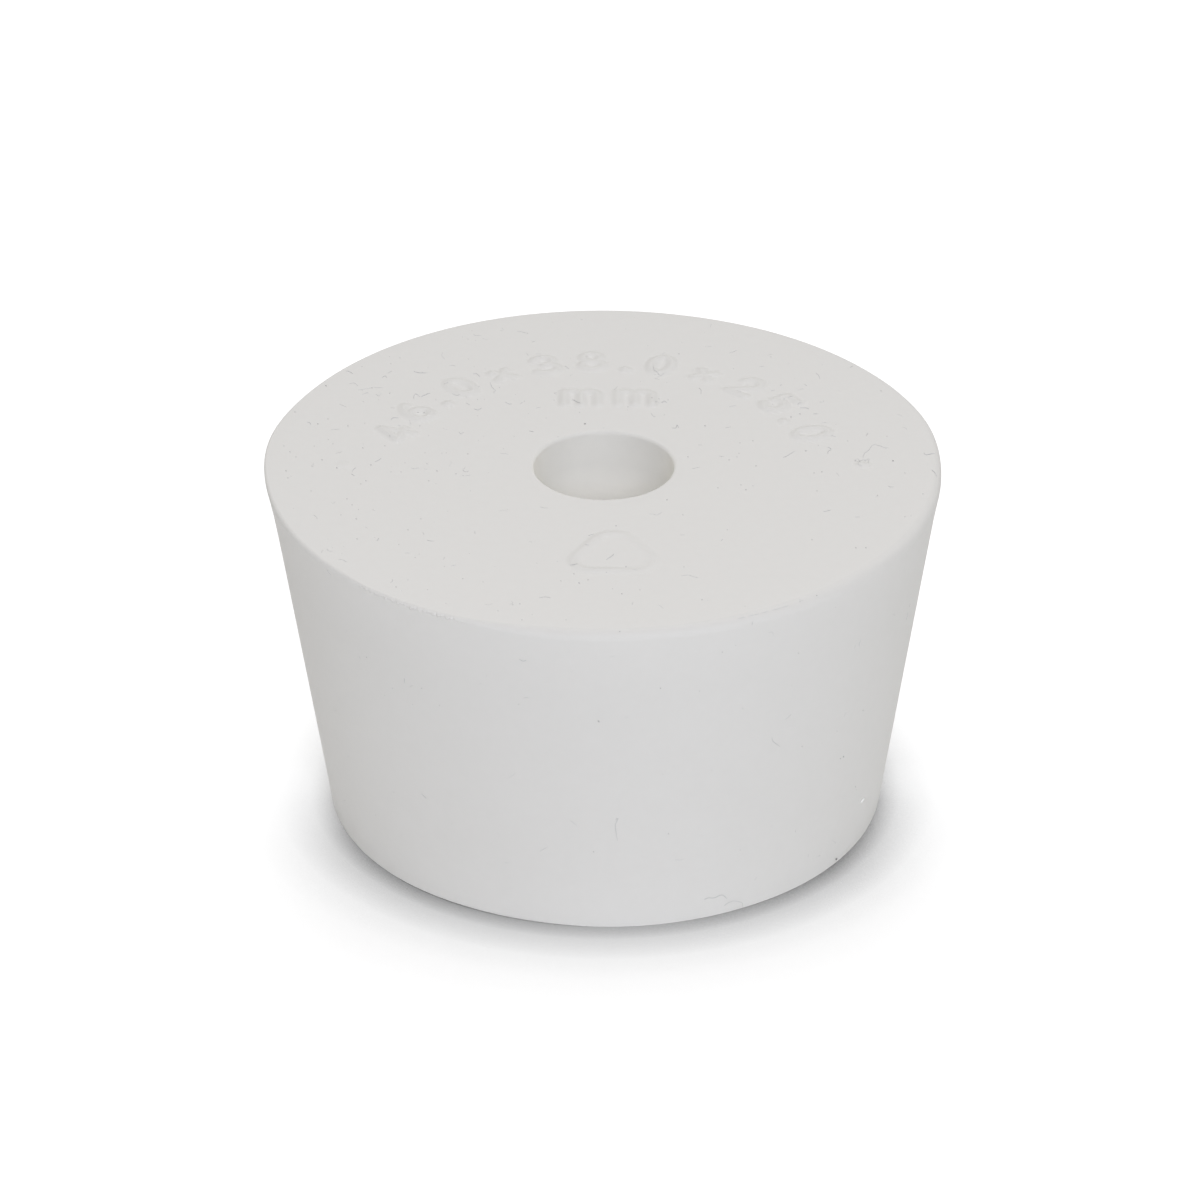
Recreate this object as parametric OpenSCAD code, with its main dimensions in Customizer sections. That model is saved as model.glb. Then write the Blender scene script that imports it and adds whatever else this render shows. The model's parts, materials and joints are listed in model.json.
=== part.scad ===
// Tapered rubber stopper with a hole along its axis, moulded in one piece.
// It stands on its narrow end: the origin is the centre of that end, and +Z runs up the axis to the wide end.

/* [Body] */
// Diameter of the wide end, at the sharp corner before its edge is rounded
wide_d = 46; // [43:0.5:60]
// Diameter of the narrow end, at the sharp corner before its edge is rounded
narrow_d = 38; // [28:0.5:42]
// Length from the narrow end face to the wide end face
stopper_length = 25; // [12:0.5:50]

/* [Hole] */
// Diameter of the hole that holds a tube
bore_d = 9.5; // [3:0.1:20]
// Radius of the rounded lip at each mouth of the hole
bore_lip_r = 0.5; // [0.1:0.05:2]

/* [Edges] */
// Radius of the rounded edge around the wide end
wide_edge_r = 0.5; // [0.1:0.05:2]
// Radius of the rounded edge around the narrow end
narrow_edge_r = 0.3; // [0.1:0.05:2]

/* [Hidden] */

// Facets of a full turn about the axis
turn_facets = 128;
// Straight steps that make up the arc of one rounded edge
edge_steps = 8;
// Off-white rubber
rubber_colour = [0.87, 0.865, 0.85];

wide_r = wide_d / 2;
narrow_r = narrow_d / 2;
bore_r = bore_d / 2;
// Angle between the tapered side and the axis
taper_angle = atan((wide_r - narrow_r) / stopper_length);

// Radius of the tapered side at a height above the narrow end
function side_r(height) = narrow_r + height * tan(taper_angle);

// Centre of an edge round of radius r that touches the tapered side at about the given height
function side_round_centre(r, height) = [side_r(height) - r / cos(taper_angle), height];

// Points of an arc, from one angle to another
function arc(centre, r, from, to) = [
    for (i = [0:edge_steps])
        let (angle = from + (to - from) * i / edge_steps)
            centre + r * [cos(angle), sin(angle)]
];

// Half section of the stopper: narrow end, tapered side, wide end and the wall of the hole
module half_section() {
    lower_lip = arc([bore_r + bore_lip_r, bore_lip_r], bore_lip_r, 180, 270);
    narrow_edge = arc(side_round_centre(narrow_edge_r, narrow_edge_r), narrow_edge_r, -90, -taper_angle);
    wide_edge = arc(side_round_centre(wide_edge_r, stopper_length - wide_edge_r), wide_edge_r, -taper_angle, 90);
    upper_lip = arc([bore_r + bore_lip_r, stopper_length - bore_lip_r], bore_lip_r, 90, 180);
    polygon(concat(lower_lip, narrow_edge, wide_edge, upper_lip));
}

module stopper() {
    color(rubber_colour)
        rotate_extrude($fn = turn_facets)
            half_section();
}

stopper();
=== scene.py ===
"""Looks of a moulded rubber stopper: body, marks, flash, lint, table, light and camera."""

import json
import math
import random

import bpy
import numpy as np
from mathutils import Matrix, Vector, geometry, noise


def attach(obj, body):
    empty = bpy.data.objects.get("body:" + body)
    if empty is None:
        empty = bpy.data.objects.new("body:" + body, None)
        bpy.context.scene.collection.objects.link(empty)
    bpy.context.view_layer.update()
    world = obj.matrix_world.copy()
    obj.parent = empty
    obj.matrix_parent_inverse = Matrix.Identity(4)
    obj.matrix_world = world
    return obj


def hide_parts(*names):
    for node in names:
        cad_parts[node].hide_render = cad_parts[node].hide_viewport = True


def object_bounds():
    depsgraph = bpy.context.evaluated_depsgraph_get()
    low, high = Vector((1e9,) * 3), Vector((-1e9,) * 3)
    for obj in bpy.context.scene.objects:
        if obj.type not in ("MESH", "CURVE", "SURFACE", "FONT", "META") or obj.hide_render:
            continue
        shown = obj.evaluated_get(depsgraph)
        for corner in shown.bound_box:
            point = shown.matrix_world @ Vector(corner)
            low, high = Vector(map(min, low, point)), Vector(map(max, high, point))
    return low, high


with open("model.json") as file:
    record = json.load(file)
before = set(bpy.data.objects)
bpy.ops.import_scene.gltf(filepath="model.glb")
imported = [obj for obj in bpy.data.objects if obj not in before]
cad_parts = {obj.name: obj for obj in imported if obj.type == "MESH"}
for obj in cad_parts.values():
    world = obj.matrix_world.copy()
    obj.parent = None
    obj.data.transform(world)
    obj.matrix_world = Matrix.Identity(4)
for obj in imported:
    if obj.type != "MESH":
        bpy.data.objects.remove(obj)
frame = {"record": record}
cad_low, cad_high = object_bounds()

# Sizes of the stopper, in millimetres
MM = 0.001
STOPPER_LENGTH = (cad_high.z - cad_low.z) / MM
BORE_R = next(m["dims"]["r_mm"] for m in frame["record"]["mounts"] if m["name"] == "tube_bore")
WIDE_R = 23.0
NARROW_R = 19.0
UPPER_LIP_R = 0.25
LOWER_LIP_R = 0.5
TAPER = math.atan((WIDE_R - NARROW_R) / STOPPER_LENGTH)

# Round of the rim at some azimuths: crisp along the flash, soft at the front
RIM_AZIMUTHS = (-180, -163, -140, -134, -116, -107, -98, -70, -35, 0, 30, 75, 130)
RIM_ROUNDS = (0.2, 0.3, 0.25, 0.14, 0.16, 0.42, 0.62, 0.65, 0.75, 0.55, 0.28, 0.42, 0.3)

# Round of the foot's edge at some azimuths, and how far the foot stands off the axis in x and y
FOOT_AZIMUTHS = (-180, -150, -140, -130, -120, -110, -100, -92, -80, -60, -45, 0, 90)
FOOT_ROUNDS = (0.06, 0.05, 0.08, 0.17, 0.27, 0.27, 0.22, 0.08, 0.05, 0.12, 0.06, 0.06, 0.3)
FOOT_SHIFT = (0.14, -0.11)

# How far the rim flares out at the left and the right, at which azimuths, how narrowly and how steeply
LEFT_FLARE = 0.22
LEFT_FLARE_AZIMUTH = math.radians(170)
RIGHT_FLARE = 0.21
RIGHT_FLARE_AZIMUTH = math.radians(15)
FLARE_FOCUS = 45
FLARE_RISE = 20
# How far the side below the rim is drawn in at the left and the right, and how narrow that is
LEFT_HOLLOW = 0.16
RIGHT_HOLLOW = 0.12
HOLLOW_FOCUS = 8

# Flash that the mould left along the rim: its first and last azimuths, and how soon it sets in and fades
FLASH_START = -136
FLASH_END = -112
FLASH_SETS_IN = 4
FLASH_FADES = 5
# How far the flash reaches out, the step under it and how far its teeth hang down
FLASH_REACH = 0.13
FLASH_STEP = 0.04
FLASH_TEETH = 0.12

# Painted light: how pale the rubber is painted, from 0 to 1, at some heights of the side and on the ends,
# which dull to the back; the side is painted lighter towards the foot and just under the rim
SIDE_HEIGHTS = (0, 1, 2.3, 3.5, 5, 6.5, 9, 15, 20, 24.3, 25)
SIDE_PAINTED_LIGHT = (0.72, 0.72, 0.66, 0.58, 0.47, 0.39, 0.31, 0.16, 0.1, 0.2, 0.3)
FACE_PAINTED_LIGHT = 0.42
FACE_LIGHT_FADE = 0.1

# Painted light in the hole: how pale its wall is painted at some depths, and how much paler its left and
# right are at the mouth
HOLE_DEPTHS = (0, 0.25, 1.3, 3, 4.6, 6)
HOLE_PAINTED_LIGHT = (0, 0.32, 0.38, 0.44, 0.86, 1)
HOLE_SIDE_PAINTED_LIGHT = 0.8

# How finely the body is meshed: steps are in degrees
BODY_STEP = 0.4
FLASH_AZIMUTH_STEP = 0.12
BORE_AZIMUTHS = np.linspace(0, 2 * math.pi, 240, endpoint=False)
EDGE_RINGS = 11
FOOT_RINGS = 8
SIDE_RINGS = 16
BORE_RINGS = 12
# Spacing of the points on the wide end between two distances from the marks, and on the narrow end
WIDE_SPACINGS = ((0.1, 0.0, 0.65), (0.3, 0.65, 1.3), (0.75, 1.3, np.inf))
NARROW_SPACING = 1.5

# Marks on the wide end: the sizes run around the back, with their unit below them
STROKE_HALF_W = 0.29
STROKE_RISE = 0.17
LEGEND = "46.0x38.0x25.0"
LEGEND_R = 14.9
LEGEND_HEIGHT = 2.25
LEGEND_STEP = 3.25
OTHER_STEPS = {".": 1.6, "x": 3.5}
UNIT = "mm"
UNIT_PLACE = (0.3, 9.95)
UNIT_HEIGHT = 2.6
UNIT_STEP = 3.7
TRIANGLE_PLACE = (0.65, -12.5)
TRIANGLE_R = 2.9
TRIANGLE_CORNER_R = 1.35
# How far from the axis the pips stand, and how far each reaches
PIP_X = 17.6
PIP_REACH = 1.5
# How uneven the marks are, the triangle's height, the wear of its right and the left pip's height, as shares
MARK_UNEVENNESS = 0.5
TRIANGLE_KEPT = 0.75
TRIANGLE_WEAR = 0.45
LEFT_PIP_KEPT = 0.4


# Camera: the photograph is 1200 pixels wide, and lengths are in millimetres

PHOTO_PX = 1200
FOCAL_PX = 7885.8
CAMERA_DISTANCE = 540.87
CAMERA_ELEVATION = math.radians(29.606)
CENTRE_PX = (603.72, 624.84)
VIEW_BACK = np.array((0, -math.cos(CAMERA_ELEVATION), math.sin(CAMERA_ELEVATION)))
VIEW_UP = np.array((0, math.sin(CAMERA_ELEVATION), math.cos(CAMERA_ELEVATION)))
VIEW_RIGHT = np.array((1.0, 0.0, 0.0))


def camera_place():
    """Where the camera stands, so that the stopper's middle falls on its pixel."""
    per_px = CAMERA_DISTANCE / FOCAL_PX
    aim = np.array((0, 0, STOPPER_LENGTH / 2))
    aim = aim - VIEW_RIGHT * (CENTRE_PX[0] - PHOTO_PX / 2) * per_px
    aim = aim + VIEW_UP * (CENTRE_PX[1] - PHOTO_PX / 2) * per_px
    return aim + VIEW_BACK * CAMERA_DISTANCE


def camera():
    lens = bpy.data.cameras.new("camera")
    lens.sensor_width = 36
    lens.lens = FOCAL_PX / PHOTO_PX * lens.sensor_width
    lens.clip_start = 0.01
    lens.clip_end = 10
    holder = bpy.data.objects.new("camera", lens)
    holder.location = camera_place() * MM
    holder.rotation_euler = Vector(VIEW_BACK).to_track_quat("Z", "Y").to_euler()
    bpy.context.scene.collection.objects.link(holder)
    bpy.context.scene.camera = holder


# Strokes of the marks: a stroke is a list of points, and a glyph is a list of strokes in a cell 1 high

def line(*points):
    return [np.array(p, float) for p in points]


def bow(centre, rx, ry, start, end, steps=18):
    """Part of an ellipse, from one angle to another, in degrees."""
    angles = np.radians(np.linspace(start, end, steps))
    return [np.array((centre[0] + rx * math.cos(a), centre[1] + ry * math.sin(a))) for a in angles]


GLYPHS = {
    "0": [bow((0, 0), 0.31, 0.5, 0, 360, 30)],
    "2": [bow((0, 0.2), 0.31, 0.3, 165, -25) + line((-0.32, -0.5), (0.33, -0.5))],
    "3": [bow((-0.03, 0.25), 0.29, 0.25, 155, -90) + bow((-0.03, -0.25), 0.34, 0.25, 90, -155)],
    "4": [line((0.16, -0.5), (0.16, 0.5), (-0.34, -0.2), (0.34, -0.2))],
    "5": [line((0.28, 0.5), (-0.22, 0.5), (-0.27, 0.03)) + bow((-0.02, -0.18), 0.33, 0.32, 128, -150)],
    "6": [bow((0, -0.19), 0.31, 0.31, 0, 360), bow((0.28, -0.19), 0.59, 0.69, 180, 95)],
    "8": [bow((0, 0.25), 0.26, 0.25, 0, 360), bow((0, -0.25), 0.32, 0.25, 0, 360)],
    "x": [line((-0.24, -0.34), (0.24, 0.14)), line((-0.24, 0.14), (0.24, -0.34))],
    ".": [line((-0.02, -0.48), (0.02, -0.48))],
    "m": [
        line((-0.45, -0.5), (-0.45, 0.2)),
        bow((-0.225, -0.03), 0.225, 0.23, 180, 0) + line((0, -0.5)),
        bow((0.225, -0.03), 0.225, 0.23, 180, 0) + line((0.45, -0.5)),
    ],
}


def place_glyph(name, height, origin, turn):
    """The strokes of one glyph on the wide end, turned by an angle."""
    spin = np.array(((math.cos(turn), -math.sin(turn)), (math.sin(turn), math.cos(turn))))
    return [[spin @ (p * height) + origin for p in stroke] for stroke in GLYPHS[name]]


def legend_strokes():
    """Characters along an arc at the back, with their tops towards the rim."""
    steps = [OTHER_STEPS.get(name, LEGEND_STEP) for name in LEGEND]
    along = -sum(steps) / 2
    strokes = []
    for name, step in zip(LEGEND, steps):
        turn = -(along + step / 2) / LEGEND_R
        origin = LEGEND_R * np.array((-math.sin(turn), math.cos(turn)))
        strokes += place_glyph(name, LEGEND_HEIGHT, origin, turn)
        along += step
    return strokes


def unit_strokes():
    """The unit on a straight line between the legend and the hole."""
    strokes = []
    for i, name in enumerate(UNIT):
        x = UNIT_PLACE[0] + UNIT_STEP * (i - (len(UNIT) - 1) / 2)
        strokes += place_glyph(name, UNIT_HEIGHT, np.array((x, UNIT_PLACE[1])), 0)
    return strokes


def triangle_strokes():
    """A plain triangle with rounded corners in front of the hole."""
    outline = []
    corner_at = TRIANGLE_R - TRIANGLE_CORNER_R
    for bearing in (90, 210, 330):
        a = math.radians(bearing)
        centre = (TRIANGLE_PLACE[0] + corner_at * math.cos(a), TRIANGLE_PLACE[1] + corner_at * math.sin(a))
        outline += bow(centre, TRIANGLE_CORNER_R, TRIANGLE_CORNER_R, bearing - 60, bearing + 60, 10)
    return [outline + outline[:1]]


def pip_strokes():
    """A dot at each end of the legend."""
    return [line((side * PIP_X - 0.1, 0), (side * PIP_X + 0.1, 0)) for side in (-1, 1)]


def mark_segments():
    """Starts and ends of all the straight bits that the marks are made of."""
    strokes = legend_strokes() + unit_strokes() + triangle_strokes() + pip_strokes()
    starts = np.array([p for stroke in strokes for p in stroke[:-1]])
    ends = np.array([p for stroke in strokes for p in stroke[1:]])
    return starts, ends


MARK_STARTS, MARK_ENDS = mark_segments()


def distance_to_marks(points):
    """Distance of each point of the wide end from the middle of the nearest stroke."""
    run = MARK_ENDS - MARK_STARTS
    length = np.maximum((run ** 2).sum(1), 1e-12)
    nearest = []
    for some in np.array_split(points, len(points) // 2000 + 1):
        rel = some[:, None] - MARK_STARTS
        t = np.clip((rel * run).sum(2) / length, 0, 1)
        nearest.append(np.linalg.norm(rel - t[..., None] * run, axis=2).min(1))
    return np.concatenate(nearest)


def smooth_step(low, high, x):
    t = np.clip((x - low) / (high - low), 0, 1)
    return t * t * (3 - 2 * t)


def mark_profile(points):
    """How high the marks stand at some points: about 1 along the middle of a stroke, 0 beside it."""
    broad = np.array([noise.noise(Vector((0.3 * x, 0.3 * y, 7.0))) for x, y in points])
    x, y = points.T
    at_triangle = y < TRIANGLE_PLACE[1] + 2 * TRIANGLE_R
    worn_triangle = TRIANGLE_KEPT - TRIANGLE_WEAR * smooth_step(-1, 2, x - TRIANGLE_PLACE[0])
    at_left_pip = np.hypot(x + PIP_X, y) < PIP_REACH
    kept = np.where(at_triangle, worn_triangle, np.where(at_left_pip, LEFT_PIP_KEPT, 1))
    across = np.clip(distance_to_marks(points) / (2 * STROKE_HALF_W), 0, 1)
    return kept * (1 + MARK_UNEVENNESS * broad) * (0.5 + 0.5 * np.cos(math.pi * across))


# The body: rings of points up the outside and down the hole, and a net of triangles over each end

def rim_round(azimuth):
    """Radius of the rim's round at an azimuth in radians."""
    return np.interp(np.degrees(azimuth), RIM_AZIMUTHS, RIM_ROUNDS, period=360)


def foot_round(azimuth):
    """Radius of the foot's round at an azimuth in radians."""
    return np.interp(np.degrees(azimuth), FOOT_AZIMUTHS, FOOT_ROUNDS, period=360)


def body_azimuths():
    """Azimuths of the columns of the body, in radians: close together along the flash."""
    degrees = np.arange(-180, 180, BODY_STEP)
    degrees = degrees[(degrees < FLASH_START) | (degrees > FLASH_END)]
    flash = np.arange(FLASH_START, FLASH_END, FLASH_AZIMUTH_STEP)
    return np.radians(np.sort(np.concatenate([degrees, flash])))


BODY_AZIMUTHS = body_azimuths()


def flash_shape(azimuth):
    """How far the ragged flash stands out of the rim, and how far its teeth hang down."""
    degrees = np.degrees(azimuth)
    begun = smooth_step(FLASH_START, FLASH_START + FLASH_SETS_IN, degrees)
    there = begun * (1 - smooth_step(FLASH_END - FLASH_FADES, FLASH_END, degrees))
    broad = np.array([noise.noise(Vector((1.9 * d, 0, 0))) for d in degrees])
    fine = np.array([noise.noise(Vector((5.3 * d, 5, 0))) for d in degrees])
    teeth = broad + 0.5 * fine
    out = FLASH_REACH * there * np.clip(0.6 + 1.2 * teeth, 0.05, 1.5)
    down = FLASH_TEETH * there * np.clip(teeth + 0.1, 0, 1)
    return out, down


def side_r(height):
    return NARROW_R + height * math.tan(TAPER)


def leant(points):
    """Points of the outside, moved so that the foot stands a little off the axis and the rim flares."""
    height = points[:, 2:] / STOPPER_LENGTH
    out = points[:, :2] / np.hypot(points[:, :1], points[:, 1:2])
    azimuth = np.arctan2(out[:, 1:], out[:, :1])
    left = LEFT_FLARE * np.clip(np.cos(azimuth - LEFT_FLARE_AZIMUTH), 0, 1) ** FLARE_FOCUS
    right = RIGHT_FLARE * np.clip(np.cos(azimuth - RIGHT_FLARE_AZIMUTH), 0, 1) ** FLARE_FOCUS
    at_rim = height ** FLARE_RISE
    flare = (left + right) * at_rim
    aside = np.where(out[:, :1] < 0, LEFT_HOLLOW, RIGHT_HOLLOW) * out[:, :1] ** HOLLOW_FOCUS
    hollow = aside * height * (1 - at_rim)
    moved = (1 - height) * np.array(FOOT_SHIFT) + (flare - hollow) * out
    return points + np.column_stack([moved, np.zeros(len(points))])


def ring(radius, height, azimuths):
    """A ring of points; radius and height may change with the azimuth."""
    r = np.broadcast_to(radius, azimuths.shape)
    z = np.broadcast_to(height, azimuths.shape)
    return np.stack([r * np.cos(azimuths), r * np.sin(azimuths), z], 1)


def outside_rings():
    """Rings from the narrow end face, round its edge, up the side and round the rim to the wide end face."""
    foot = foot_round(BODY_AZIMUTHS)
    foot_r = side_r(foot) - foot / math.cos(TAPER)
    rings = []
    for a in np.linspace(-math.pi / 2, -TAPER, FOOT_RINGS):
        rings.append(ring(foot_r + foot * math.cos(a), foot * (1 + math.sin(a)), BODY_AZIMUTHS))
    rim = rim_round(BODY_AZIMUTHS)
    out, down = flash_shape(BODY_AZIMUTHS)
    rim_z = STOPPER_LENGTH - rim
    rim_r = side_r(rim_z) - rim / math.cos(TAPER)
    low_z = foot * (1 - math.sin(TAPER))
    top_z = rim_z - rim * math.sin(TAPER) - FLASH_STEP - down
    for t in np.linspace(0, 1, SIDE_RINGS + 1)[1:]:
        z = low_z + (top_z - 3 * FLASH_STEP - low_z) * t
        rings.append(ring(side_r(z), z, BODY_AZIMUTHS))
    rings.append(ring(side_r(top_z), top_z, BODY_AZIMUTHS))
    for i, a in enumerate(np.linspace(-TAPER, math.pi / 2, EDGE_RINGS)):
        share = (1 - i / (EDGE_RINGS - 1)) ** 2
        r = rim_r + rim * math.cos(a) + share * out
        rings.append(ring(r, rim_z + rim * math.sin(a) - share * down, BODY_AZIMUTHS))
    return [leant(points) for points in rings]


def bore_rings():
    """Rings from the wide end face, round the lip, down the wall of the hole and round the lower lip."""
    rings = []
    for a in np.linspace(math.pi / 2, math.pi, EDGE_RINGS):
        z = STOPPER_LENGTH - UPPER_LIP_R * (1 - math.sin(a))
        rings.append(ring(BORE_R + UPPER_LIP_R * (1 + math.cos(a)), z, BORE_AZIMUTHS))
    for z in np.linspace(STOPPER_LENGTH - UPPER_LIP_R, LOWER_LIP_R, BORE_RINGS)[1:-1]:
        rings.append(ring(BORE_R, z, BORE_AZIMUTHS))
    for a in np.linspace(math.pi, 1.5 * math.pi, EDGE_RINGS):
        z = LOWER_LIP_R * (1 + math.sin(a))
        rings.append(ring(BORE_R + LOWER_LIP_R * (1 + math.cos(a)), z, BORE_AZIMUTHS))
    return rings


def hex_points(spacing, reach):
    """A triangular lattice that covers a square of that reach."""
    rows = np.arange(-reach, reach, spacing * math.sqrt(0.75))
    cols = np.arange(-reach, reach, spacing)
    x, y = np.meshgrid(cols, rows)
    x = x + spacing / 2 * (np.arange(len(rows)) % 2)[:, None]
    return np.stack([x.ravel(), y.ravel()], 1)


def face_points(outer_r, inner_r):
    """Points inside the wide end face: close together near the marks and far apart elsewhere."""
    chosen = []
    for spacing, near, far in WIDE_SPACINGS:
        p = hex_points(spacing, WIDE_R)
        radius = np.hypot(*p.T)
        p = p[(radius < outer_r - 0.6 * spacing) & (radius > inner_r + 0.6 * spacing)]
        d = distance_to_marks(p)
        chosen.append(p[(d >= near) & (d < far)])
    return np.concatenate(chosen)


def annulus_faces(outer, inner, inside):
    """Triangles between two loops of 2D points, through the points in between."""
    points = np.concatenate([outer, inner, inside])
    n_out, n_in = len(outer), len(inner)
    edges = [(i, (i + 1) % n_out) for i in range(n_out)]
    edges += [(n_out + i, n_out + (i + 1) % n_in) for i in range(n_in)]
    made = geometry.delaunay_2d_cdt([Vector(p) for p in points], edges, [], 1, 1e-7)
    placed, faces, origin = made[0], made[2], made[3]
    index = [o[0] for o in origin]
    hole = np.hypot(*inner.T).max()
    kept = []
    for f in faces:
        middle = sum((placed[i] for i in f), Vector((0, 0))) / len(f)
        if middle.length > hole * math.cos(math.pi / n_in):
            kept.append([index[i] for i in f])
    return kept


def band_faces(first, count, columns):
    """Quads between rings of points stored one after another."""
    faces = []
    for k in range(count - 1):
        low = first + k * columns
        high = low + columns
        for i in range(columns):
            j = (i + 1) % columns
            faces.append((low + i, low + j, high + j, high + i))
    return faces


def end_faces(points, outer_first, inner_first, inside_first, inside_count):
    """Triangles of one end face, as indices into all the points of the body."""
    body_columns = len(BODY_AZIMUTHS)
    bore_columns = len(BORE_AZIMUTHS)
    outer = points[outer_first:outer_first + body_columns, :2]
    inner = points[inner_first:inner_first + bore_columns, :2]
    inside = points[inside_first:inside_first + inside_count, :2]
    index = np.concatenate([
        outer_first + np.arange(body_columns),
        inner_first + np.arange(bore_columns),
        inside_first + np.arange(inside_count),
    ])
    return [[int(index[i]) for i in f] for f in annulus_faces(outer, inner, inside)]


def add_attribute(mesh, name, values):
    mesh.attributes.new(name, "FLOAT", "POINT").data.foreach_set("value", np.asarray(values, np.float32))


def new_piece(name, points, faces):
    """An object from points in millimetres, with smooth shading."""
    mesh = bpy.data.meshes.new(name)
    mesh.from_pydata((np.asarray(points) * MM).tolist(), [], faces)
    mesh.polygons.foreach_set("use_smooth", np.ones(len(mesh.polygons), bool))
    piece = bpy.data.objects.new(name, mesh)
    bpy.context.scene.collection.objects.link(piece)
    return piece


def painted_hole_light(points):
    """How pale the wall of the hole is painted, from 0 to 1: painted light that lifts its shade."""
    depth = STOPPER_LENGTH - points[:, 2]
    across = np.abs(points[:, 0]) / np.hypot(points[:, 0], points[:, 1])
    pale = np.interp(depth, HOLE_DEPTHS, HOLE_PAINTED_LIGHT)
    at_sides = HOLE_SIDE_PAINTED_LIGHT * across ** 8 * np.clip(depth / UPPER_LIP_R, 0, 1)
    return np.clip(pale + at_sides, 0, 1)


def stopper_body():
    outside = outside_rings()
    bore = bore_rings()
    wide = face_points(np.hypot(outside[-1][:, 0], outside[-1][:, 1]).min(), BORE_R + UPPER_LIP_R)
    profile = mark_profile(wide)
    narrow = hex_points(NARROW_SPACING, NARROW_R)
    radius = np.hypot(*narrow.T)
    narrow = narrow[(radius < NARROW_R - 1.2) & (radius > BORE_R + LOWER_LIP_R + 0.6)]

    wide_face = np.column_stack([wide, STOPPER_LENGTH + STROKE_RISE * profile])
    narrow_face = np.column_stack([narrow, np.zeros(len(narrow))])
    points = np.concatenate(outside + bore + [wide_face, narrow_face])
    bore_first = len(outside) * len(BODY_AZIMUTHS)
    wide_first = bore_first + len(bore) * len(BORE_AZIMUTHS)
    narrow_first = wide_first + len(wide)
    top_ring = bore_first - len(BODY_AZIMUTHS)
    low_lip = wide_first - len(BORE_AZIMUTHS)
    faces = band_faces(0, len(outside), len(BODY_AZIMUTHS))
    faces += band_faces(bore_first, len(bore), len(BORE_AZIMUTHS))
    faces += end_faces(points, top_ring, bore_first, wide_first, len(wide))
    faces += [f[::-1] for f in end_faces(points, 0, low_lip, narrow_first, len(narrow))]

    body = new_piece("stopper_body", points, faces)
    # Painted shade on the marks, by how high they stand
    marks = np.zeros(len(points))
    marks[wide_first:narrow_first] = profile
    add_attribute(body.data, "marks", marks)
    # Painted light on the wall of the hole
    hole_light_paint = np.zeros(len(points))
    hole_light_paint[bore_first:wide_first] = painted_hole_light(points[bore_first:wide_first])
    add_attribute(body.data, "hole_light_paint", hole_light_paint)
    # Painted light: the wide end lighter to the front and darker to the back, the side lighter towards the
    # foot and the rim
    painted_light = FACE_PAINTED_LIGHT - FACE_LIGHT_FADE * points[:, 1] / WIDE_R
    painted_light[:top_ring] = np.interp(points[:top_ring, 2], SIDE_HEIGHTS, SIDE_PAINTED_LIGHT)
    add_attribute(body.data, "painted_light", painted_light)
    return body


# Lint and dust: paths and places are pixels of the photograph, cast onto the rubber

STRONG_FIBRES = (
    ((421, 397), (425, 395), (430, 393)), ((473, 374), (477, 374), (480, 377)),
    ((505, 402), (509, 404), (512, 404)), ((653, 365), (654, 370), (657, 372), (660, 374)),
    ((699, 388), (701, 390), (701, 394)), ((823, 512), (827, 511), (831, 510)),
    ((924, 453), (926, 455), (931, 454), (936, 453)), ((932, 470), (935, 473), (937, 476)),
    ((409, 687), (412, 685)), ((451, 566), (456, 565)), ((475, 531), (475, 534)),
    ((570, 565), (578, 564)), ((606, 560), (612, 556), (614, 554)), ((572, 399), (577, 402), (581, 403)),
    ((800, 408), (806, 408), (809, 409)), ((813, 414), (818, 414)), ((391, 420), (393, 418), (399, 418)),
    ((827, 447), (831, 449), (828, 452), (828, 454)), ((420, 793), (425, 798)),
    ((519, 659), (523, 661), (526, 660)), ((404, 678), (404, 683)),
)
MID_FIBRES = (
    ((414, 399), (414, 396), (416, 394), (420, 397)), ((414, 371), (415, 372), (420, 373), (426, 373)),
    ((346, 371), (350, 372), (353, 374)), ((382, 378), (385, 376), (387, 378)),
    ((307, 422), (310, 423), (311, 425)), ((352, 472), (354, 469), (356, 468)), ((351, 474), (355, 476)),
    ((411, 468), (415, 469), (419, 468)), ((490, 382), (492, 387), (495, 390)),
    ((474, 409), (478, 410), (482, 408)), ((520, 404), (523, 402)), ((529, 431), (534, 432)),
    ((565, 366), (569, 369)), ((662, 403), (664, 401), (667, 403)), ((651, 413), (653, 416), (656, 417)),
    ((672, 428), (676, 428), (677, 425), (679, 428)), ((831, 435), (836, 437)), ((783, 398), (786, 398)),
    ((788, 397), (793, 397)), ((771, 391), (775, 390)), ((780, 386), (782, 384)),
    ((804, 384), (807, 386)), ((866, 436), (868, 433)), ((888, 486), (890, 487), (894, 487)),
    ((876, 497), (878, 495)), ((377, 541), (379, 538)), ((423, 532), (424, 535)),
    ((427, 540), (430, 541), (434, 541)), ((443, 560), (445, 557)), ((321, 553), (323, 550)),
    ((327, 570), (331, 575)), ((588, 536), (594, 534)), ((585, 545), (589, 545)),
    ((721, 541), (723, 539)), ((850, 368), (853, 366)), ((752, 625), (753, 621)),
    ((632, 605), (633, 602)), ((466, 403), (470, 405)), ((523, 698), (528, 697)),
    ((784, 719), (787, 717), (790, 714)), ((771, 737), (772, 741), (779, 746)),
    ((614, 819), (617, 818), (614, 825), (616, 840)),
    ((702, 899), (706, 897), (712, 897), (720, 894), (725, 898)),
    ((722, 905), (726, 902), (732, 900), (740, 902), (740, 907)),
)
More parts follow.
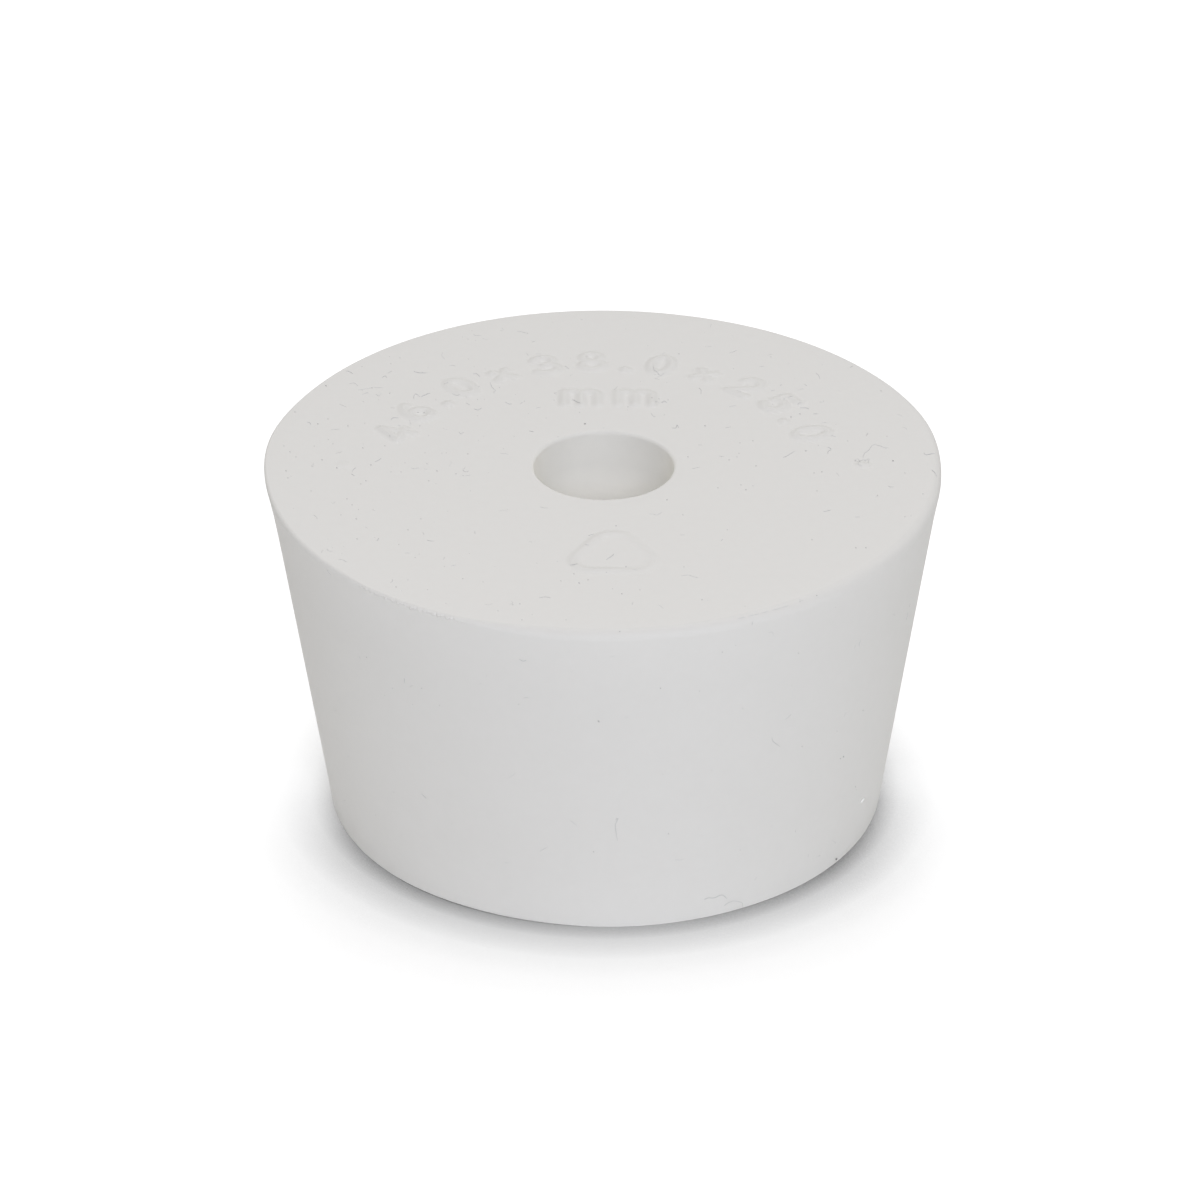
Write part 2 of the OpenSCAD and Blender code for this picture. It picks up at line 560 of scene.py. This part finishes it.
FAINT_FIBRES = (
    # The first seven paths lie in short pieces along the right of the rim, as a thin dark line
    ((739, 618), (743, 618), (747, 617)), ((750, 617), (756, 615), (760, 614)), ((763, 613), (770, 611)),
    ((774, 610), (779, 608), (784, 608)), ((782, 606), (786, 606), (790, 605)), ((755, 617), (762, 615)),
    ((799, 599), (804, 599)), ((681, 576), (688, 575), (694, 577), (699, 578)),
    ((349, 384), (354, 383), (358, 386)), ((358, 390), (366, 389), (370, 388), (373, 388)),
    ((362, 395), (366, 393), (369, 393)), ((376, 394), (379, 396), (381, 393)), ((388, 373), (392, 371)),
    ((443, 352), (442, 356), (445, 359)), ((452, 393), (456, 395), (460, 393)), ((397, 425), (401, 426)),
    ((459, 432), (461, 434), (464, 432)), ((331, 430), (340, 429)), ((375, 462), (379, 460), (381, 458)),
    ((466, 467), (463, 470), (466, 472), (469, 471)), ((465, 476), (471, 475)), ((475, 386), (480, 387)),
    ((602, 428), (605, 428)), ((580, 319), (583, 320)), ((729, 407), (733, 406), (736, 406)),
    ((725, 428), (731, 427)), ((698, 445), (702, 445)), ((719, 456), (724, 457)),
    ((783, 458), (787, 456), (790, 454), (795, 451)), ((729, 353), (733, 352), (737, 350)),
    ((759, 367), (764, 366)), ((816, 373), (819, 376), (820, 379)), ((819, 402), (823, 402), (824, 400)),
    ((692, 469), (700, 467)), ((855, 517), (860, 517)), ((405, 553), (410, 553)),
    ((372, 509), (375, 511)), ((338, 560), (342, 560), (347, 562)), ((539, 598), (545, 597), (551, 598)),
    ((540, 507), (544, 508), (548, 508)), ((649, 514), (653, 514), (657, 515), (662, 512)),
    ((680, 535), (685, 535)), ((632, 570), (637, 570)), ((503, 862), (508, 862)),
    ((863, 458), (864, 454), (869, 450), (873, 445), (880, 446), (885, 448), (888, 448)),
    ((854, 461), (857, 459), (860, 461), (858, 464), (862, 465)),
    ((857, 462), (862, 460), (866, 460), (869, 459), (868, 463)),
)
PALE_FIBRES = (((859, 802), (860, 800), (862, 797)),)
BLACK_SPECKS = ((834, 858),)
DARK_SPECKS = ((585, 424), (893, 461), (842, 756), (598, 721))
STRONG_SPECKS = (
    (326, 386), (295, 412), (390, 435), (337, 468), (356, 519), (746, 490), (822, 597), (806, 451),
    (791, 417), (800, 414), (592, 851), (579, 583), (801, 746), (862, 710),
)
MID_SPECKS = (
    (318, 424), (284, 446), (363, 448), (322, 460), (429, 481), (288, 478), (311, 491), (418, 411),
    (424, 412), (558, 437), (705, 426), (740, 443), (753, 441), (756, 466), (352, 505), (341, 515),
    (561, 581), (574, 574), (483, 582), (498, 611), (522, 620), (741, 485), (718, 488), (812, 540),
    (866, 548), (856, 548), (881, 391), (905, 473), (817, 491), (667, 500), (616, 526), (626, 567),
    (702, 600), (391, 472), (401, 472), (420, 426), (372, 388), (652, 398), (656, 402), (659, 399),
    (518, 704), (660, 688), (667, 833), (839, 758),
)
FAINT_SPECKS = (
    (328, 419), (348, 426), (290, 452), (296, 457), (333, 444), (385, 446), (371, 465), (405, 463),
    (437, 471), (427, 464), (286, 471), (366, 481), (361, 484), (456, 474), (468, 454), (628, 407),
    (679, 354), (771, 357), (729, 460), (737, 457), (688, 457), (822, 472), (814, 473), (923, 494),
    (911, 516), (905, 517), (347, 499), (357, 539), (328, 539), (396, 587), (408, 580), (421, 519),
    (408, 530), (566, 620), (513, 605), (520, 604), (588, 580), (640, 590), (622, 594), (620, 633),
    (753, 486), (683, 515), (684, 567), (391, 364), (400, 358), (806, 604), (392, 688), (421, 688),
    (439, 705), (412, 704), (571, 671), (366, 657), (722, 652), (742, 708), (854, 786), (798, 653),
    (856, 461), (860, 462), (865, 461),
)

# Half width of the fibres, radius of the specks, and tone from dark to pale, class by class
FIBRE_CLASSES = (
    (STRONG_FIBRES, 0.022, 0.66), (MID_FIBRES, 0.018, 0.65), (FAINT_FIBRES, 0.014, 0.67),
    (PALE_FIBRES, 0.06, 1.3),
)
SPECK_CLASSES = (
    (BLACK_SPECKS, 0.11, 0.3), (DARK_SPECKS, 0.075, 0.46), (STRONG_SPECKS, 0.06, 0.7),
    (MID_SPECKS, 0.046, 0.64), (FAINT_SPECKS, 0.046, 0.7),
)

# Faint lint all over, more of it at the back left of the wide end
STRAY_FIBRES = 110
STRAY_SPECKS = 190
STRAY_SEED = 46
# Share of it on the wide end, azimuth where it is thickest there, spread, and steps along a fibre
STRAY_ON_TOP = 0.6
STRAY_AZIMUTH = 140
STRAY_SPREAD = 75
STRAY_STEP = 0.09
STRAY_TURN = 0.004


def on_wide_end(x, y):
    """The point of the wide end, or of its rim, above a place in plan, and the way up."""
    radius = math.hypot(x, y)
    rim = float(rim_round(np.array(math.atan2(y, x))))
    rim_z = STOPPER_LENGTH - rim
    past = max(radius - (side_r(rim_z) - rim / math.cos(TAPER)), 0)
    z = rim_z + math.sqrt(max(rim ** 2 - past ** 2, 0)) + STROKE_RISE * mark_profile(np.array([(x, y)]))[0]
    return np.array((x, y, z)), np.array((0.0, 0.0, 1.0))


def on_side(azimuth, height):
    """A point of the tapered side and the way out of it."""
    out = np.array((math.cos(azimuth), math.sin(azimuth), 0))
    up = np.array((0, 0, 1))
    spot = leant((out * side_r(height) + up * height)[None])[0]
    return spot, out * math.cos(TAPER) - up * math.sin(TAPER)


def under_pixel(pixel):
    """The point of the rubber that a pixel of the photograph shows, and the way out of it."""
    eye = camera_place()
    ray = VIEW_RIGHT * (pixel[0] - PHOTO_PX / 2) - VIEW_UP * (pixel[1] - PHOTO_PX / 2) - VIEW_BACK * FOCAL_PX
    top = eye + ray * (STOPPER_LENGTH - eye[2]) / ray[2]
    mark_top = STOPPER_LENGTH + STROKE_RISE * mark_profile(top[None, :2])[0]
    top = eye + ray * (mark_top - eye[2]) / ray[2]
    radius = math.hypot(top[0], top[1])
    slope = math.tan(TAPER)
    reach = NARROW_R + slope * eye[2]
    a = ray[0] ** 2 + ray[1] ** 2 - (slope * ray[2]) ** 2
    b = eye[0] * ray[0] + eye[1] * ray[1] - reach * slope * ray[2]
    c = eye[0] ** 2 + eye[1] ** 2 - reach ** 2
    hit = eye + ray * (-b - math.sqrt(max(b * b - a * c, 0))) / a
    if radius < WIDE_R - 0.25 or top[1] > 0 or hit[2] > STOPPER_LENGTH - 0.3:
        inward = min(1, (WIDE_R - 0.4) / radius)
        return on_wide_end(top[0] * inward, top[1] * inward)
    return on_side(math.atan2(hit[1], hit[0]), hit[2])


def flowing_path(corners, per_span=4):
    """A smooth path through its corners."""
    p = np.array([corners[0], *corners, corners[-1]], float)
    path = []
    for k in range(1, len(p) - 2):
        for t in np.arange(per_span) / per_span:
            path.append(0.5 * (
                2 * p[k] + (p[k + 1] - p[k - 1]) * t
                + (2 * p[k - 1] - 5 * p[k] + 4 * p[k + 1] - p[k + 2]) * t ** 2
                + (3 * p[k] - p[k - 1] - 3 * p[k + 1] + p[k + 2]) * t ** 3))
    path.append(p[-2])
    return path


def fibre_mesh(places, half_w):
    """Points and faces of a thin round fibre that lies along places on the rubber, thinner at its ends."""
    sides = 6
    spots = np.array([place[0] for place in places])
    ways = np.array([place[1] for place in places])
    run = np.gradient(spots, axis=0)
    across = np.cross(ways, run)
    across /= np.maximum(np.linalg.norm(across, axis=1), 1e-9)[:, None]
    points = []
    for i, (spot, way, side) in enumerate(zip(spots, ways, across)):
        end = min(i, len(spots) - 1 - i)
        r = half_w * min(0.45 + 0.3 * end, 1)
        for a in np.linspace(0, 2 * math.pi, sides, endpoint=False):
            points.append(spot + way * r * (0.6 + math.sin(a)) + side * r * math.cos(a))
    faces = band_faces(0, len(spots), sides)
    faces.append(tuple(range(sides))[::-1])
    faces.append(tuple(range(len(points) - sides, len(points))))
    return points, faces


def speck_mesh(place, radius, seed):
    """Points and faces of a small lumpy grain that sits on the rubber."""
    columns = 8
    rows = 5
    spot, way = place
    east = np.cross(way, (0.31, 0.87, 0.38))
    east /= np.linalg.norm(east)
    north = np.cross(way, east)
    points = []
    for tilt in np.radians(np.linspace(-80, 80, rows)):
        for turn in np.linspace(0, 2 * math.pi, columns, endpoint=False):
            flat = math.cos(tilt)
            aim = Vector((flat * math.cos(turn), flat * math.sin(turn), math.sin(tilt)))
            r = radius * (1 + 0.45 * noise.noise(aim * 1.3 + Vector((seed, 0, 0))))
            points.append(spot + r * (east * aim.x + 0.7 * north * aim.y + way * (0.3 + 0.55 * aim.z)))
    faces = band_faces(0, rows, columns)
    faces.append(tuple(range(columns))[::-1])
    faces.append(tuple(range(len(points) - columns, len(points))))
    return points, faces


def stray_place(chance):
    """A random place on the wide end or the side."""
    if chance.random() < STRAY_ON_TOP:
        radius = math.sqrt(chance.uniform(6 ** 2, 22 ** 2))
        azimuth = math.radians(chance.gauss(STRAY_AZIMUTH, STRAY_SPREAD))
        return on_wide_end(radius * math.cos(azimuth), radius * math.sin(azimuth))
    return on_side(chance.uniform(0, 2 * math.pi), chance.uniform(1, 23.5))


def stray_fibre(chance):
    """Places along a random short fibre."""
    spot, way = stray_place(chance)
    level = way[2] > 0.5
    heading = chance.uniform(0, 2 * math.pi)
    places = []
    for _ in range(chance.randint(4, 9)):
        places.append((spot, way))
        heading += chance.gauss(0, 0.45)
        if level:
            x = spot[0] + STRAY_STEP * math.cos(heading)
            spot, way = on_wide_end(x, spot[1] + STRAY_STEP * math.sin(heading))
        else:
            azimuth = math.atan2(spot[1], spot[0]) + STRAY_TURN * math.cos(heading)
            spot, way = on_side(azimuth, spot[2] + STRAY_STEP * math.sin(heading))
    return places


def gathered_piece(name, meshes):
    """One object from many small meshes, each with its own tone."""
    points = []
    faces = []
    tones = []
    for more_points, more_faces, tone in meshes:
        first = len(points)
        points += more_points
        faces += [tuple(first + i for i in f) for f in more_faces]
        tones += [tone] * len(more_points)
    piece = new_piece(name, points, faces)
    add_attribute(piece.data, "tone", tones)
    return piece


def lint_fibres():
    chance = random.Random(STRAY_SEED)
    meshes = []
    for paths, half_w, tone in FIBRE_CLASSES:
        for path in paths:
            places = [under_pixel(pixel) for pixel in flowing_path(path)]
            points, faces = fibre_mesh(places, half_w * chance.uniform(0.85, 1.15))
            meshes.append((points, faces, tone * chance.uniform(0.8, 1.0)))
    for _ in range(STRAY_FIBRES):
        points, faces = fibre_mesh(stray_fibre(chance), chance.uniform(0.008, 0.013))
        meshes.append((points, faces, chance.uniform(0.5, 0.7)))
    return gathered_piece("lint_fibres", meshes)


def dust_specks():
    chance = random.Random(STRAY_SEED + 1)
    meshes = []
    for spots, radius, tone in SPECK_CLASSES:
        for pixel in spots:
            size = radius * chance.uniform(0.85, 1.2)
            points, faces = speck_mesh(under_pixel(pixel), size, chance.uniform(0, 99))
            meshes.append((points, faces, tone * chance.uniform(0.75, 1.0)))
    for _ in range(STRAY_SPECKS):
        size = chance.uniform(0.02, 0.04)
        points, faces = speck_mesh(stray_place(chance), size, chance.uniform(0, 99))
        meshes.append((points, faces, chance.uniform(0.5, 0.75)))
    return gathered_piece("dust_specks", meshes)


# Materials

# Painted light: the rubber's colour goes from the first of these to the second with the painted light on it
RUBBER_IN_PAINTED_SHADE = (0.684, 0.676, 0.66, 1)
RUBBER_IN_PAINTED_LIGHT = (0.778, 0.769, 0.751, 1)
# Painted light: the paler colour of the wall of the hole
HOLE_PAINTED_LIGHT_COLOUR = (0.985, 0.968, 0.925, 1)
# Painted shade: the darker colour of the marks
MARK_PAINTED_SHADE = (0.7, 0.692, 0.675, 1)
LINT_DARK = (0.18, 0.19, 0.205, 1)
LINT_PALE = (0.88, 0.88, 0.87, 1)
DUST_DARK = (0.09, 0.09, 0.09, 1)
DUST_PALE = (0.88, 0.88, 0.87, 1)


def calculated(nodes, links, operation, *given):
    """The result of a math node, from numbers and results of other nodes."""
    node = nodes.new("ShaderNodeMath")
    node.operation = operation
    for socket, value in zip(node.inputs, given):
        if isinstance(value, bpy.types.NodeSocket):
            links.new(value, socket)
        else:
            socket.default_value = value
    return node.outputs[0]


def mottle_group():
    """Patches of slightly lighter and darker colour, shared by the rubber and the lint."""
    group = bpy.data.node_groups.new("mottle", "ShaderNodeTree")
    group.interface.new_socket("Colour", in_out="INPUT", socket_type="NodeSocketColor")
    group.interface.new_socket("Fineness", in_out="INPUT", socket_type="NodeSocketFloat")
    group.interface.new_socket("Amount", in_out="INPUT", socket_type="NodeSocketFloat")
    group.interface.new_socket("Colour", in_out="OUTPUT", socket_type="NodeSocketColor")
    group.interface.new_socket("Patches", in_out="OUTPUT", socket_type="NodeSocketFloat")
    nodes, links = group.nodes, group.links
    given = nodes.new("NodeGroupInput")
    made = nodes.new("NodeGroupOutput")
    place = nodes.new("ShaderNodeTexCoord")
    patches = nodes.new("ShaderNodeTexNoise")
    patches.inputs["Detail"].default_value = 3.0
    swing = calculated(nodes, links, "MULTIPLY_ADD", patches.outputs["Fac"], 2.0, -1.0)
    level = calculated(nodes, links, "MULTIPLY_ADD", swing, given.outputs["Amount"], 1.0)
    tinted = nodes.new("ShaderNodeVectorMath")
    tinted.operation = "SCALE"
    links.new(place.outputs["Object"], patches.inputs["Vector"])
    links.new(given.outputs["Fineness"], patches.inputs["Scale"])
    links.new(given.outputs["Colour"], tinted.inputs["Vector"])
    links.new(level, tinted.inputs["Scale"])
    links.new(tinted.outputs["Vector"], made.inputs["Colour"])
    links.new(patches.outputs["Fac"], made.inputs["Patches"])
    return group


def new_material(name):
    material = bpy.data.materials.new(name)
    material.use_nodes = True
    return material, material.node_tree.nodes, material.node_tree.links


def add_mottle(nodes, group, fineness, amount):
    mottle = nodes.new("ShaderNodeGroup")
    mottle.node_tree = group
    mottle.inputs["Fineness"].default_value = fineness
    mottle.inputs["Amount"].default_value = amount
    return mottle


def mix_by_attribute(nodes, links, name, low, high):
    """A colour that goes from one to another with an attribute of the mesh."""
    source = nodes.new("ShaderNodeAttribute")
    source.attribute_name = name
    mix = nodes.new("ShaderNodeMix")
    mix.data_type = "RGBA"
    mix.inputs["B"].default_value = high
    links.new(source.outputs["Fac"], mix.inputs["Factor"])
    if isinstance(low, tuple):
        mix.inputs["A"].default_value = low
    else:
        links.new(low, mix.inputs["A"])
    return mix.outputs["Result"]


def grain_group():
    """Fine bumps, shared by the rubber and the lint."""
    group = bpy.data.node_groups.new("grain", "ShaderNodeTree")
    group.interface.new_socket("Fineness", in_out="INPUT", socket_type="NodeSocketFloat")
    group.interface.new_socket("Strength", in_out="INPUT", socket_type="NodeSocketFloat")
    group.interface.new_socket("Depth", in_out="INPUT", socket_type="NodeSocketFloat")
    group.interface.new_socket("Normal", in_out="OUTPUT", socket_type="NodeSocketVector")
    nodes, links = group.nodes, group.links
    given = nodes.new("NodeGroupInput")
    made = nodes.new("NodeGroupOutput")
    place = nodes.new("ShaderNodeTexCoord")
    grain = nodes.new("ShaderNodeTexNoise")
    grain.inputs["Detail"].default_value = 4.0
    bump = nodes.new("ShaderNodeBump")
    links.new(place.outputs["Object"], grain.inputs["Vector"])
    links.new(given.outputs["Fineness"], grain.inputs["Scale"])
    links.new(given.outputs["Strength"], bump.inputs["Strength"])
    links.new(given.outputs["Depth"], bump.inputs["Distance"])
    links.new(grain.outputs["Fac"], bump.inputs["Height"])
    links.new(bump.outputs["Normal"], made.inputs["Normal"])
    return group


def add_grain(nodes, links, group, shader, fineness, strength, depth):
    grain = nodes.new("ShaderNodeGroup")
    grain.node_tree = group
    grain.inputs["Fineness"].default_value = fineness
    grain.inputs["Strength"].default_value = strength
    grain.inputs["Depth"].default_value = depth
    links.new(grain.outputs["Normal"], shader.inputs["Normal"])


def add_roughness(nodes, links, patches, shader, low, high):
    """Roughness from one value to another, with the patches of the colour."""
    rough = nodes.new("ShaderNodeMapRange")
    rough.inputs["To Min"].default_value = low
    rough.inputs["To Max"].default_value = high
    links.new(patches, rough.inputs["Value"])
    links.new(rough.outputs["Result"], shader.inputs["Roughness"])


def rubber_material(mottle, grain):
    """Matte off-white rubber, with painted light that makes it paler inside the hole and towards the foot,
    and painted shade on the marks.
    """
    material, nodes, links = new_material("moulded_rubber")
    shader = nodes["Principled BSDF"]
    shader.inputs["Specular IOR Level"].default_value = 0.15
    # Painted light on the side and the ends
    plain = mix_by_attribute(nodes, links, "painted_light", RUBBER_IN_PAINTED_SHADE, RUBBER_IN_PAINTED_LIGHT)
    # Painted shade on the marks
    mark_shaded = mix_by_attribute(nodes, links, "marks", plain, MARK_PAINTED_SHADE)
    # Painted light on the wall of the hole
    hole_painted = mix_by_attribute(nodes, links, "hole_light_paint", mark_shaded, HOLE_PAINTED_LIGHT_COLOUR)
    broad = add_mottle(nodes, mottle, fineness=120.0, amount=0.015)
    fine = add_mottle(nodes, mottle, fineness=1400.0, amount=0.012)
    links.new(hole_painted, broad.inputs["Colour"])
    links.new(broad.outputs["Colour"], fine.inputs["Colour"])
    links.new(fine.outputs["Colour"], shader.inputs["Base Color"])
    add_roughness(nodes, links, broad.outputs["Patches"], shader, low=0.56, high=0.76)
    add_grain(nodes, links, grain, shader, fineness=2600.0, strength=0.1, depth=0.04 * MM)
    return material


def lint_material(name, mottle, grain, dark, pale):
    """Dull fibres or grains from dark to pale, by the tone of each."""
    material, nodes, links = new_material(name)
    shader = nodes["Principled BSDF"]
    shader.inputs["Specular IOR Level"].default_value = 0.1
    uneven = add_mottle(nodes, mottle, fineness=6000.0, amount=0.12)
    links.new(mix_by_attribute(nodes, links, "tone", dark, pale), uneven.inputs["Colour"])
    links.new(uneven.outputs["Colour"], shader.inputs["Base Color"])
    add_roughness(nodes, links, uneven.outputs["Patches"], shader, low=0.75, high=0.95)
    add_grain(nodes, links, grain, shader, fineness=20000.0, strength=0.3, depth=0.01 * MM)
    return material


# The table: white to the eye, with a shadow around the stopper's foot, partly cast by the lamps and partly
# painted into the table's glow

# Radius of the table in metres, how pale it is to other things and to the camera, and its glow to the camera
TABLE_R = 1.2
TABLE_WHITE = 0.95
TABLE_SEEN = 0.3
TABLE_LIFT = 0.85
# Reach of each part of the painted shadow in millimetres, and how much of the light it takes at the foot
CONTACT_SHADOWS = ((1.5, 0.205), (4.0, 0.239), (6.5, 0.145), (14.0, 0.25))
SHADOW_SAMPLES = 4
# How far the painted shadow leans back, and the reach up to which its parts also fall behind the stopper
SHADOW_LEAN = math.radians(55)
TURNED_REACH = 5.0
# Where their lean starts and ends to turn towards the axis: 0 is beside the stopper and 1 straight behind it
SHADOW_TURN = (0.3, 0.7)
# How strong the painted shadow is from the left of the stopper, at 0, to its right, at 1
SHADOW_PLACES = (0, 0.02, 0.06, 0.15, 0.3, 0.5, 0.7, 0.85, 0.94, 0.98, 1)
SHADOW_STRENGTHS = (0.63, 0.81, 0.92, 0.86, 0.72, 0.66, 0.73, 0.88, 1, 0.97, 0.8)


def seen_directly(nodes, links):
    """1 where the camera sees a surface itself, in a mirror or through glass."""
    path = nodes.new("ShaderNodeLightPath")
    total = path.outputs["Is Camera Ray"]
    for name in ("Is Glossy Ray", "Is Transmission Ray"):
        total = calculated(nodes, links, "MAXIMUM", total, path.outputs[name])
    return total


def away_from_axis(nodes, links):
    """The way from the axis to a place on the table, at most 1 long, as a vector and as separate numbers."""
    place = nodes.new("ShaderNodeTexCoord")
    far = nodes.new("ShaderNodeVectorMath")
    far.operation = "LENGTH"
    at_least = calculated(nodes, links, "MAXIMUM", far.outputs["Value"], NARROW_R * MM)
    outward = nodes.new("ShaderNodeVectorMath")
    outward.operation = "DIVIDE"
    apart = nodes.new("ShaderNodeSeparateXYZ")
    links.new(place.outputs["Object"], far.inputs[0])
    links.new(place.outputs["Object"], outward.inputs[0])
    links.new(at_least, outward.inputs[1])
    links.new(outward.outputs["Vector"], apart.inputs["Vector"])
    return outward.outputs["Vector"], apart


def shadow_strength(nodes, links, apart):
    """How strong the painted contact shadow is around the foot."""
    across = nodes.new("ShaderNodeMapRange")
    across.inputs["From Min"].default_value = -1
    strength = nodes.new("ShaderNodeFloatCurve")
    curve = strength.mapping.curves[0]
    curve.points[0].location = (SHADOW_PLACES[0], SHADOW_STRENGTHS[0])
    curve.points[1].location = (SHADOW_PLACES[-1], SHADOW_STRENGTHS[-1])
    for spot in zip(SHADOW_PLACES[1:-1], SHADOW_STRENGTHS[1:-1]):
        curve.points.new(*spot)
    strength.mapping.update()
    links.new(apart.outputs["X"], across.inputs["Value"])
    links.new(across.outputs["Result"], strength.inputs["Value"])
    return strength.outputs["Value"]


def towards_stopper(nodes, links, outward, apart):
    """A direction that leans straight back in front of the stopper and towards its axis behind it."""
    behind = nodes.new("ShaderNodeMapRange")
    behind.interpolation_type = "SMOOTHSTEP"
    behind.inputs["From Min"].default_value = SHADOW_TURN[0]
    behind.inputs["From Max"].default_value = SHADOW_TURN[1]
    inward = nodes.new("ShaderNodeVectorMath")
    inward.operation = "SCALE"
    inward.inputs["Scale"].default_value = -1
    turned = nodes.new("ShaderNodeMix")
    turned.data_type = "VECTOR"
    turned.inputs[4].default_value = (0, 1, 0)
    level = nodes.new("ShaderNodeVectorMath")
    level.operation = "NORMALIZE"
    leaning = nodes.new("ShaderNodeVectorMath")
    leaning.operation = "MULTIPLY_ADD"
    leaning.inputs[1].default_value = (math.sin(SHADOW_LEAN), math.sin(SHADOW_LEAN), 0)
    leaning.inputs[2].default_value = (0, 0, math.cos(SHADOW_LEAN))
    links.new(apart.outputs["Y"], behind.inputs["Value"])
    links.new(outward, inward.inputs[0])
    links.new(behind.outputs["Result"], turned.inputs["Factor"])
    links.new(inward.outputs["Vector"], turned.inputs[5])
    links.new(turned.outputs[1], level.inputs[0])
    links.new(level.outputs["Vector"], leaning.inputs[0])
    return leaning.outputs["Vector"]


def contact_shadow(nodes, links):
    """Painted shadow: 1 on open table, less where the stopper stands close to a place."""
    outward, apart = away_from_axis(nodes, links)
    turned = towards_stopper(nodes, links, outward, apart)
    straight = nodes.new("ShaderNodeCombineXYZ")
    straight.inputs["Y"].default_value = math.sin(SHADOW_LEAN)
    straight.inputs["Z"].default_value = math.cos(SHADOW_LEAN)
    total = 2 * sum(share for reach, share in CONTACT_SHADOWS)
    for reach, share in CONTACT_SHADOWS:
        open_to = nodes.new("ShaderNodeAmbientOcclusion")
        open_to.samples = SHADOW_SAMPLES
        open_to.inputs["Distance"].default_value = reach * MM
        links.new(turned if reach < TURNED_REACH else straight.outputs[0], open_to.inputs["Normal"])
        total = calculated(nodes, links, "MULTIPLY_ADD", open_to.outputs["AO"], -2 * share, total)
    taken = calculated(nodes, links, "MULTIPLY", total, shadow_strength(nodes, links, apart))
    return calculated(nodes, links, "SUBTRACT", 1, taken)


def table():
    bpy.ops.mesh.primitive_circle_add(vertices=96, radius=TABLE_R, fill_type="NGON", location=(0, 0, 0))
    top = bpy.context.object
    top.name = "white_table"
    material, nodes, links = new_material("white_table")
    nodes.clear()
    out = nodes.new("ShaderNodeOutputMaterial")
    paper = nodes.new("ShaderNodeBsdfDiffuse")
    glow = nodes.new("ShaderNodeEmission")
    both = nodes.new("ShaderNodeAddShader")
    seen = seen_directly(nodes, links)
    lit = nodes.new("ShaderNodeMapRange")
    lit.inputs["To Min"].default_value = TABLE_WHITE
    lit.inputs["To Max"].default_value = TABLE_SEEN
    # Painted shadow in the table's glow
    shaded = calculated(nodes, links, "MULTIPLY", seen, contact_shadow(nodes, links))
    links.new(seen, lit.inputs["Value"])
    links.new(lit.outputs["Result"], paper.inputs["Color"])
    links.new(calculated(nodes, links, "MULTIPLY", shaded, TABLE_LIFT), glow.inputs["Strength"])
    links.new(paper.outputs[0], both.inputs[0])
    links.new(glow.outputs[0], both.inputs[1])
    links.new(both.outputs[0], out.inputs["Surface"])
    top.data.materials.append(material)


# Light: a pale room and soft lamps

ROOM_LIGHT = 0.378
ROOM_COLOUR = (1.008, 0.997, 0.935, 1)
# Azimuth and elevation in degrees, distance and width in metres, light on a facing surface, and colour
LAMPS = {
    "overhead": (0, 90, 0.7, 1.0, 0.123, (1.13, 0.99, 0.93)),
    "front": (3, 35, 0.9, 0.4, 0.37, (0.96, 0.998, 1.105)),
    "right": (60, 30, 0.9, 0.3, 0.056, (0.94, 1.0, 1.05)),
    "back": (180, 45, 0.9, 0.4, 0.259, (0.961, 0.996, 1.039)),
}


def lights():
    world = bpy.data.worlds.new("white_room")
    bpy.context.scene.world = world
    world.use_nodes = True
    nodes, links = world.node_tree.nodes, world.node_tree.links
    nodes.clear()
    out = nodes.new("ShaderNodeOutputWorld")
    room = nodes.new("ShaderNodeBackground")
    room.inputs["Color"].default_value = ROOM_COLOUR
    room.inputs["Strength"].default_value = ROOM_LIGHT
    seen_room = nodes.new("ShaderNodeBackground")
    seen_room.inputs["Color"].default_value = (1, 1, 1, 1)
    either = nodes.new("ShaderNodeMixShader")
    links.new(seen_directly(nodes, links), either.inputs["Fac"])
    links.new(room.outputs[0], either.inputs[1])
    links.new(seen_room.outputs[0], either.inputs[2])
    links.new(either.outputs[0], out.inputs["Surface"])
    for name, (azimuth, elevation, distance, width, share, colour) in LAMPS.items():
        lamp = bpy.data.lights.new(name, "AREA")
        lamp.shape = "DISK"
        lamp.size = width
        lamp.color = colour
        lamp.energy = share * math.pi ** 2 * (distance ** 2 + (width / 2) ** 2)
        holder = bpy.data.objects.new(name, lamp)
        a = math.radians(azimuth)
        e = math.radians(elevation)
        towards = Vector((math.sin(a) * math.cos(e), -math.cos(a) * math.cos(e), math.sin(e)))
        holder.location = distance * towards
        holder.rotation_euler = towards.to_track_quat("Z", "Y").to_euler()
        bpy.context.scene.collection.objects.link(holder)


bpy.context.scene.view_settings.view_transform = "Standard"
camera()
lights()
table()
mottle = mottle_group()
grain = grain_group()

body = stopper_body()
body.data.materials.append(rubber_material(mottle, grain))
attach(body, "root")
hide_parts("stopper")

fibres = lint_fibres()
fibres.data.materials.append(lint_material("lint", mottle, grain, LINT_DARK, LINT_PALE))
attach(fibres, "root")

specks = dust_specks()
specks.data.materials.append(lint_material("dust", mottle, grain, DUST_DARK, DUST_PALE))
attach(specks, "root")
